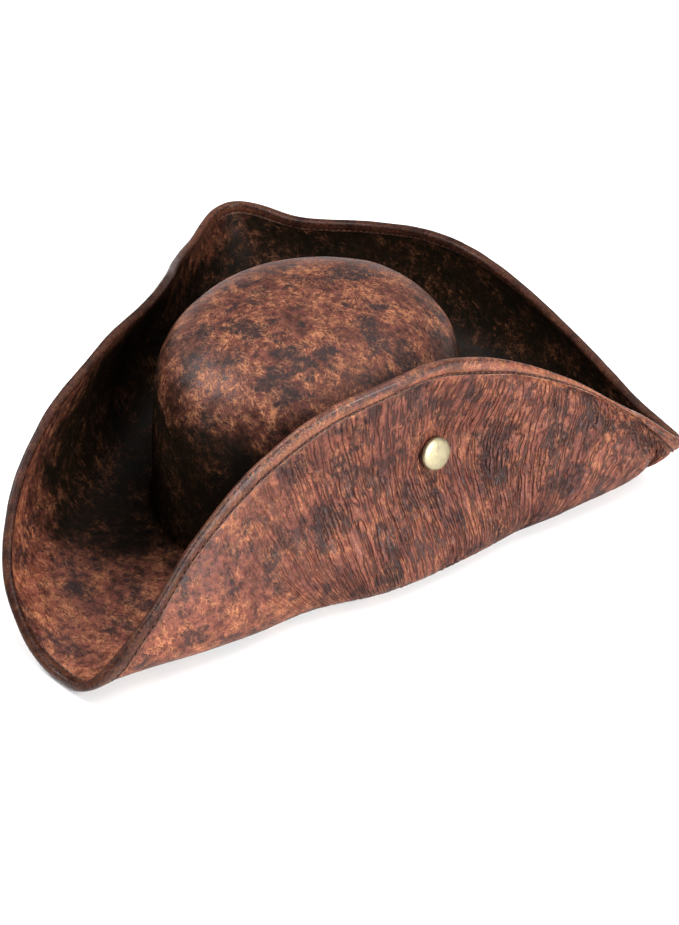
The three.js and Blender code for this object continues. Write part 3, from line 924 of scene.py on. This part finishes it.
class HAT_OT_add_brim(bpy.types.Operator):
    """Form the brim, with the wrinkles of its left flap"""

    bl_idname = "tricorn.add_brim"
    bl_label = "Add Brim"

    def execute(self, context):
        sizes = context.scene.hat_sizes
        wall = sizes.leather_wall
        places = station_places(self.spacing, wall)
        (outer, from_rim, outer_normals), (inner, inner_from_rim, inner_normals) = (
            brim_middle(places, np.linspace(0, sizes.binding_outside, EDGE_ROWS),
                        np.arange(1, rows + 1) / rows, sizes)
            for rows in (OUTER_ROWS, INNER_ROWS))
        course = wrinkle_course(places, outer, from_rim)
        wrinkled = self.wrinkled_share(places[:, None], from_rim, outer_normals)
        relief, valleys = self.wrinkles(course, from_rim, wrinkled, sizes)
        relief -= self.seam(from_rim, sizes) + self.dimple(outer)
        outside = outer - (wall / 2 + relief)[..., None] * outer_normals
        none = np.zeros(inner_from_rim.shape)
        height = outside[..., 2]
        # Painted shade on the outer face, darker towards the fold and the floor
        wear_and_painted_shade = 0.55 * smooth_step(*FLOOR_PAINTED_SHADE, height) + 0.35 * smooth_step(*FOLD_PAINTED_SHADE, height)
        rings = self.both_faces(inner + wall / 2 * inner_normals, outside)
        rings[..., 2] = np.maximum(rings[..., 2], 0)
        courses = self.both_faces(
            np.stack([none, inner_from_rim], -1), np.stack([course, from_rim], -1))
        brim = closed_sheet("brim_leather", rings, wrap(wrap(courses), 1), {
            "wrinkled": self.both_faces(none, wrinkled),
            "valley": self.both_faces(none, valleys),
            # Painted shade near the crown on the inner face, and low down on the outer face
            "finish_and_painted_shade": self.both_faces(self.inner_painted_shade(places[:, None], inner_from_rim), wear_and_painted_shade),
        })
        leather = leather_material(
            "distressed cowhide of the brim", context.scene.hat_colours, wear=0.9, streaked=True)
        finish_piece(brim, "brim_leather", leather, "brim")
        return {"FINISHED"}

    @staticmethod
    def spacing(places):
        """Distance between the stations, close along the wrinkled left flap"""
        near, far = WRINKLED_SECTIONS
        fine = smooth_step(near - 0.8, near, places) * smooth_step(far + 0.5, far, places)
        return COARSE_SPACING + (FINE_SPACING - COARSE_SPACING) * fine

    @staticmethod
    def both_faces(inner, outer):
        """Values of the inner face from the rim down, and of the outer face back up to it"""
        return np.concatenate([inner, outer[:, ::-1]], axis=1)

    @staticmethod
    def wrinkled_share(places, from_rim, normals):
        """How wrinkled the outer face is, from 0 to 1"""
        near, far = WRINKLED_SECTIONS
        round_hat = smooth_step(near, near + 2.4, places) * smooth_step(far, far - 0.6, places)
        across = smooth_step(9 * MM, 14 * MM, from_rim) * smooth_step(0.94, 0.6, normals[..., 2])
        return round_hat * across

    @staticmethod
    def wrinkles(course, from_rim, share, sizes):
        """Relief of the wrinkles, round ridges between narrow valleys in two sizes, and how deep
        in a valley each point is, from 0 to 1"""
        relief, valleys = np.zeros(share.shape), np.zeros(share.shape)
        there = share > 0
        across, down = course[there], from_rim[there]
        wander = np.stack([across / WANDER_SIZE, down / WANDER_SIZE, 0 * across], -1)
        across = across + WANDER_REACH * noise_at(wander)
        fine = np.stack([across / sizes.wrinkle_spacing, down / FINE_LENGTH, 0 * across], -1)
        broad = np.stack([across / BROAD_SPACING, down / BROAD_LENGTH, 5 + 0 * across], -1)
        fine_valley = np.maximum(1 - np.abs(noise_at(fine)) / FINE_VALLEY, 0) ** 1.2
        broad_valley = np.maximum(1 - np.abs(noise_at(broad)) / BROAD_VALLEY, 0) ** 1.2
        patchy = smooth_step(-0.45, 0.35, noise_at(wander / 2.4 + 9))
        depth = 0.35 + 0.65 * patchy
        relief[there] = -share[there] * (
            sizes.wrinkle_depth * depth * fine_valley + BROAD_DEPTH * patchy * broad_valley)
        valleys[there] = share[there] * np.maximum(
            0.75 * depth * fine_valley ** 2, patchy * broad_valley ** 1.5)
        return relief, valleys

    @staticmethod
    def inner_painted_shade(places, from_rim):
        """How much shade is painted on the inner face near the crown, from 0 to 1"""
        reach = np.interp(places, *zip(*PAINTED_SHADE_REACH))
        from_crown = 1 - from_rim / from_rim[:, -1:]
        return smooth_step(reach + 0.40, reach - 0.40, from_crown)

    @staticmethod
    def seam(from_rim, sizes):
        """The seam of the binding pinches the leather beside it"""
        beside = from_rim - sizes.binding_outside - PINCH_GAP
        return PINCH_DEPTH * bump(beside / PINCH_HALF_WIDTH)

    @staticmethod
    def dimple(points):
        """The snap sinks a little into the leather"""
        low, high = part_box("snap_cap")
        middle = np.array((low + high) / 2) - CENTRE
        away = np.linalg.norm(points - middle, axis=-1)
        return DIMPLE_DEPTH * bump(away / DIMPLE_RADIUS)


def binding_legs(sizes):
    """Width, side of the brim and puff of the binding's outer leg and of its inner one"""
    return ((sizes.binding_outside, -1, sizes.binding_puff),
            (sizes.binding_inside, 1, INSIDE_PUFF * sizes.binding_puff))


class HAT_OT_add_binding(bpy.types.Operator):
    """Fold the leather binding over the brim's edge"""

    bl_idname = "tricorn.add_binding"
    bl_label = "Add Edge Binding"

    def execute(self, context):
        sizes = context.scene.hat_sizes
        places = station_places(lambda middles: BINDING_SPACING, sizes.leather_wall)
        section = self.section(sizes)
        from_rim, off, drawn = section.T
        distances, rows = np.unique(np.maximum(from_rim, 0), return_inverse=True)
        middle, _, normals = brim_middle(places, distances, [], sizes)
        along = lengths_along(wrap(middle[:, 0]))
        pitch = along[-1] / round(along[-1] / sizes.stitch_pitch)
        pucker = PUCKER * np.cos(2 * math.pi * along[:-1] / pitch)
        lift = off + np.sign(off) * drawn * pucker[:, None]
        beyond = np.maximum(-from_rim, 0)[:, None] * unit(middle[:, [0]] - middle[:, [1]])
        rings = middle[:, rows] + lift[..., None] * normals[:, rows] + beyond
        uneven = noise_at(rings / UNEVEN_SIZE + 11)[..., None]
        rings += UNEVENNESS * uneven * unit(rings - middle[:, [1]])
        rings[..., 2] = np.maximum(rings[..., 2], 0)
        across = np.arange(len(section) + 1) / len(section)
        courses = np.stack(np.meshgrid(along, across, indexing="ij"), -1)
        crest = np.maximum(bump(from_rim / CREST_HALF_WIDTH), 0.8 * drawn)
        # Painted shade on the binding by place, and in the stitched groove
        finish_and_painted_shade = np.interp(places, *zip(*BINDING_PAINTED_SHADE))[:, None]
        width = np.where(off < 0, sizes.binding_outside, sizes.binding_inside)
        cut = bump((from_rim - width) / CUT_EDGE)
        binding = closed_sheet("binding_leather", rings, courses, {
            "crest": np.broadcast_to(crest, lift.shape),
            "finish_and_painted_shade": np.maximum(finish_and_painted_shade, 0.95 * drawn ** 3),
            "cut": np.broadcast_to(cut, lift.shape),
        })
        colours = context.scene.hat_colours
        finish_piece(binding, "binding_leather", binding_leather(colours), "edge_binding")
        return {"FINISHED"}

    @staticmethod
    def section(sizes):
        """The binding's section, inner leg first, then the crest, the outer leg and back along
        the brim's wall: distance in from the rim, where a negative one is beyond it, offset from
        the brim's middle, and how far the stitches draw that point in"""
        near = sizes.leather_wall / 2 + BINDING_CLEARANCE
        outer, inner = (
            [(share * width, side * (near + height * puff),
              bump((share - GROOVE_SHARE) / GROOVE_SPREAD)) for share, height in BINDING_LEG]
            for width, side, puff in binding_legs(sizes))
        start, end = inner[0][1], outer[0][1]
        crest = [
            (-CREST_HEIGHT * math.sin(turn),
             (start + end) / 2 + (start - end) / 2 * math.cos(turn), 0)
            for turn in np.linspace(0, math.pi, CREST_STEPS + 1)[1:-1]]
        ends = [(sizes.binding_outside, -near, 0), (sizes.binding_outside / 2, -near, 0),
                (0, -near, 0), (0, near, 0), (sizes.binding_inside, near, 0)]
        return np.array(inner[::-1] + crest + outer + ends)


class HAT_OT_add_stitches(bpy.types.Operator):
    """Sew the binding down on both faces"""

    bl_idname = "tricorn.add_stitches"
    bl_label = "Add Stitches"

    def execute(self, context):
        sizes = context.scene.hat_sizes
        wall = sizes.leather_wall
        places = station_places(lambda middles: SEAM_SPACING, wall)
        points, faces = [], []
        for width, side, puff in binding_legs(sizes):
            beside = GROOVE_SHARE * width + np.array([-MM, 0, MM])
            middle, _, normals = brim_middle(places, beside, [], sizes)
            off = wall / 2 + BINDING_CLEARANCE + GROOVE_FLOOR * puff
            line = middle[:, 1] + side * off * normals[:, 1]
            self.sew(line, side * normals[:, 1], sizes, points, faces)
        mesh = bpy.data.meshes.new("binding_stitches")
        mesh.from_pydata((np.concatenate(points) + CENTRE).tolist(), [], faces)
        stitches = bpy.data.objects.new("binding_stitches", mesh)
        context.scene.collection.objects.link(stitches)
        edit(stitches)
        face_outward()
        bpy.ops.object.shade_smooth()
        material = thread_material(context.scene.hat_colours)
        finish_piece(stitches, "binding_leather", material)
        return {"FINISHED"}

    @staticmethod
    def sew(line, normals, sizes, points, faces):
        """Adds one seam's stitches, each a short bowed cord with its ends in the leather"""
        line, normals = wrap(line), wrap(normals)
        along = lengths_along(line)
        radius = sizes.thread_diameter / 2
        count = round(along[-1] / sizes.stitch_pitch)
        pitch = along[-1] / count
        bow = np.sin(np.linspace(0, math.pi, THREAD_RINGS))
        girth = radius * (STITCH_END_GIRTH + (1 - STITCH_END_GIRTH) * bow)[:, None]
        for stitch in range(count):
            spots = (stitch + np.linspace(*STITCH_SPAN, THREAD_RINGS)) * pitch
            core = points_at(spots, along, line)
            up = unit(points_at(spots, along, normals))
            side = unit(np.cross(np.gradient(core, axis=0), up))
            core = core + (STITCH_BOW * radius * (bow - STITCH_SINK))[:, None] * up
            first = len(points) * THREAD_RINGS
            starts = [first + corner * THREAD_RINGS for corner in range(THREAD_SIDES)]
            for corner in range(THREAD_SIDES):
                turn = 2 * math.pi * corner / THREAD_SIDES
                points.append(core + girth * (math.cos(turn) * side + math.sin(turn) * up))
                here, after = starts[corner], starts[(corner + 1) % THREAD_SIDES]
                for ring in range(THREAD_RINGS - 1):
                    faces.append((here + ring, here + ring + 1, after + ring + 1, after + ring))
            faces.append(starts)
            faces.append([start + THREAD_RINGS - 1 for start in reversed(starts)])


class HAT_OT_add_snap(bpy.types.Operator):
    """Turn the snap's cap and finish its post"""

    bl_idname = "tricorn.add_snap"
    bl_label = "Add Snap"

    def execute(self, context):
        brass = brass_material(context.scene.hat_colours)
        foot, axis, radius, height = self.seat()
        cap = start_ring("snap_cap_brass", CAP_VERTICES, CAP_FOOT_SHARE * radius)
        raise_rings(((share, level * height) for share, level in CAP_PROFILE), CAP_FOOT_SHARE)
        apply_modifier(cap, "SOLIDIFY", thickness=CAP_WALL, offset=-1)
        apply_modifier(cap, "SUBSURF", levels=1, render_levels=1)
        turn = Vector((0, 0, 1)).rotation_difference(Vector(axis)).to_matrix().to_4x4()
        cap.data.transform(Matrix.Translation(foot) @ turn)
        bpy.ops.object.shade_smooth()
        finish_piece(cap, "brass", brass, "snap_cap")
        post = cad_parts["snap_post"]
        post.data.materials.clear()
        post.data.materials.append(brass)
        return {"FINISHED"}

    @staticmethod
    def seat():
        """Middle of the cap's foot, its axis away from the flap, its radius and its height"""
        points = np.unique(np.round(vertex_points(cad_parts["snap_cap"]), 7), axis=0)
        middle = points.mean(axis=0)
        axis = np.linalg.svd(points - middle)[2][2]
        if axis @ (middle - CENTRE) < 0:
            axis = -axis
        levels = (points - middle) @ axis
        flat = points - middle - levels[:, None] * axis
        radius = np.linalg.norm(flat, axis=1).max()
        foot = points[levels < levels.min() + 0.01 * MM]
        centre = (foot.min(axis=0) + foot.max(axis=0)) / 2
        return Vector(centre), axis, radius, levels.max() - levels.min()


class HAT_OT_add_stage(bpy.types.Operator):
    """Lay the floor, and set the camera and the softboxes"""

    bl_idname = "tricorn.add_stage"
    bl_label = "Add Stage"

    def execute(self, context):
        scene = context.scene
        self.add_floor(scene.hat_colours)
        self.add_camera(scene)
        for softbox in SOFTBOXES:
            self.add_softbox(scene, *softbox)
        scene.world = scene.world or bpy.data.worlds.new("studio")
        scene.world.use_nodes = True
        backdrop = scene.world.node_tree.nodes["Background"]
        backdrop.inputs["Color"].default_value = (1, 1, 1, 1)
        backdrop.inputs["Strength"].default_value = WORLD_STRENGTH
        scene.view_settings.view_transform = "Standard"
        return {"FINISHED"}

    @staticmethod
    def add_floor(colours):
        bpy.ops.object.select_all(action="DESELECT")
        bpy.ops.mesh.primitive_plane_add(size=FLOOR_SIZE, location=(0, 0, -FLOOR_DROP))
        floor = bpy.context.object
        floor.name = floor.data.name = "studio_floor"
        material, _, shader = new_material("matt painted floor")
        shader.inputs["Base Color"].default_value = colours.floor
        shader.inputs["Roughness"].default_value = 0.9
        floor.data.materials.append(material)

    @staticmethod
    def add_camera(scene):
        stage = scene.hat_stage
        turn, rise = stage.azimuth, stage.elevation
        back = Vector((
            math.sin(turn) * math.cos(rise), -math.cos(turn) * math.cos(rise), math.sin(rise)))
        right = Vector((math.cos(turn), math.sin(turn), 0))
        up = back.cross(right)
        target = Vector(CENTRE) + stage.aside * right + stage.above * up
        data = bpy.data.cameras.new("photo_camera")
        data.sensor_width = SENSOR
        data.lens = stage.pixels_per_metre * stage.distance * SENSOR / PHOTO_HEIGHT
        camera = bpy.data.objects.new("photo_camera", data)
        scene.collection.objects.link(camera)
        camera.matrix_world = Matrix.Translation(target + stage.distance * back) @ Matrix(
            (right, up, back)).transposed().to_4x4()
        scene.camera = camera

    @staticmethod
    def add_softbox(scene, name, direction, distance, size, power):
        light = bpy.data.lights.new(name, "AREA")
        light.shape = "SQUARE"
        light.size = size
        light.energy = power
        box = bpy.data.objects.new(name, light)
        scene.collection.objects.link(box)
        away = Vector(direction).normalized()
        box.location = away * distance
        box.rotation_euler = away.to_track_quat("Z", "Y").to_euler()


class HAT_PT_panel(bpy.types.Panel):
    """The hat's operators and settings"""

    bl_idname = "HAT_PT_panel"
    bl_label = "Tricorn Hat"
    bl_space_type = "VIEW_3D"
    bl_region_type = "UI"
    bl_category = "Tricorn Hat"

    def draw(self, context):
        for operator in OPERATORS:
            self.layout.operator(operator.bl_idname)
        for group in (context.scene.hat_sizes, context.scene.hat_colours, context.scene.hat_stage):
            box = self.layout.box()
            for name in group.__annotations__:
                box.prop(group, name)


OPERATORS = (
    HAT_OT_add_crown,
    HAT_OT_add_brim,
    HAT_OT_add_binding,
    HAT_OT_add_stitches,
    HAT_OT_add_snap,
    HAT_OT_add_stage,
)
CLASSES = (HatSizes, HatColours, StageSettings, *OPERATORS, HAT_PT_panel)


def register():
    for item in CLASSES:
        bpy.utils.register_class(item)
    bpy.types.Scene.hat_sizes = bpy.props.PointerProperty(type=HatSizes)
    bpy.types.Scene.hat_colours = bpy.props.PointerProperty(type=HatColours)
    bpy.types.Scene.hat_stage = bpy.props.PointerProperty(type=StageSettings)


def unregister():
    del bpy.types.Scene.hat_stage
    del bpy.types.Scene.hat_colours
    del bpy.types.Scene.hat_sizes
    for item in reversed(CLASSES):
        bpy.utils.unregister_class(item)


def main():
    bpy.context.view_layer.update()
    register()
    for operator in OPERATORS:
        group, name = operator.bl_idname.split(".")
        getattr(getattr(bpy.ops, group), name)()


if __name__ == "__main__":
    main()
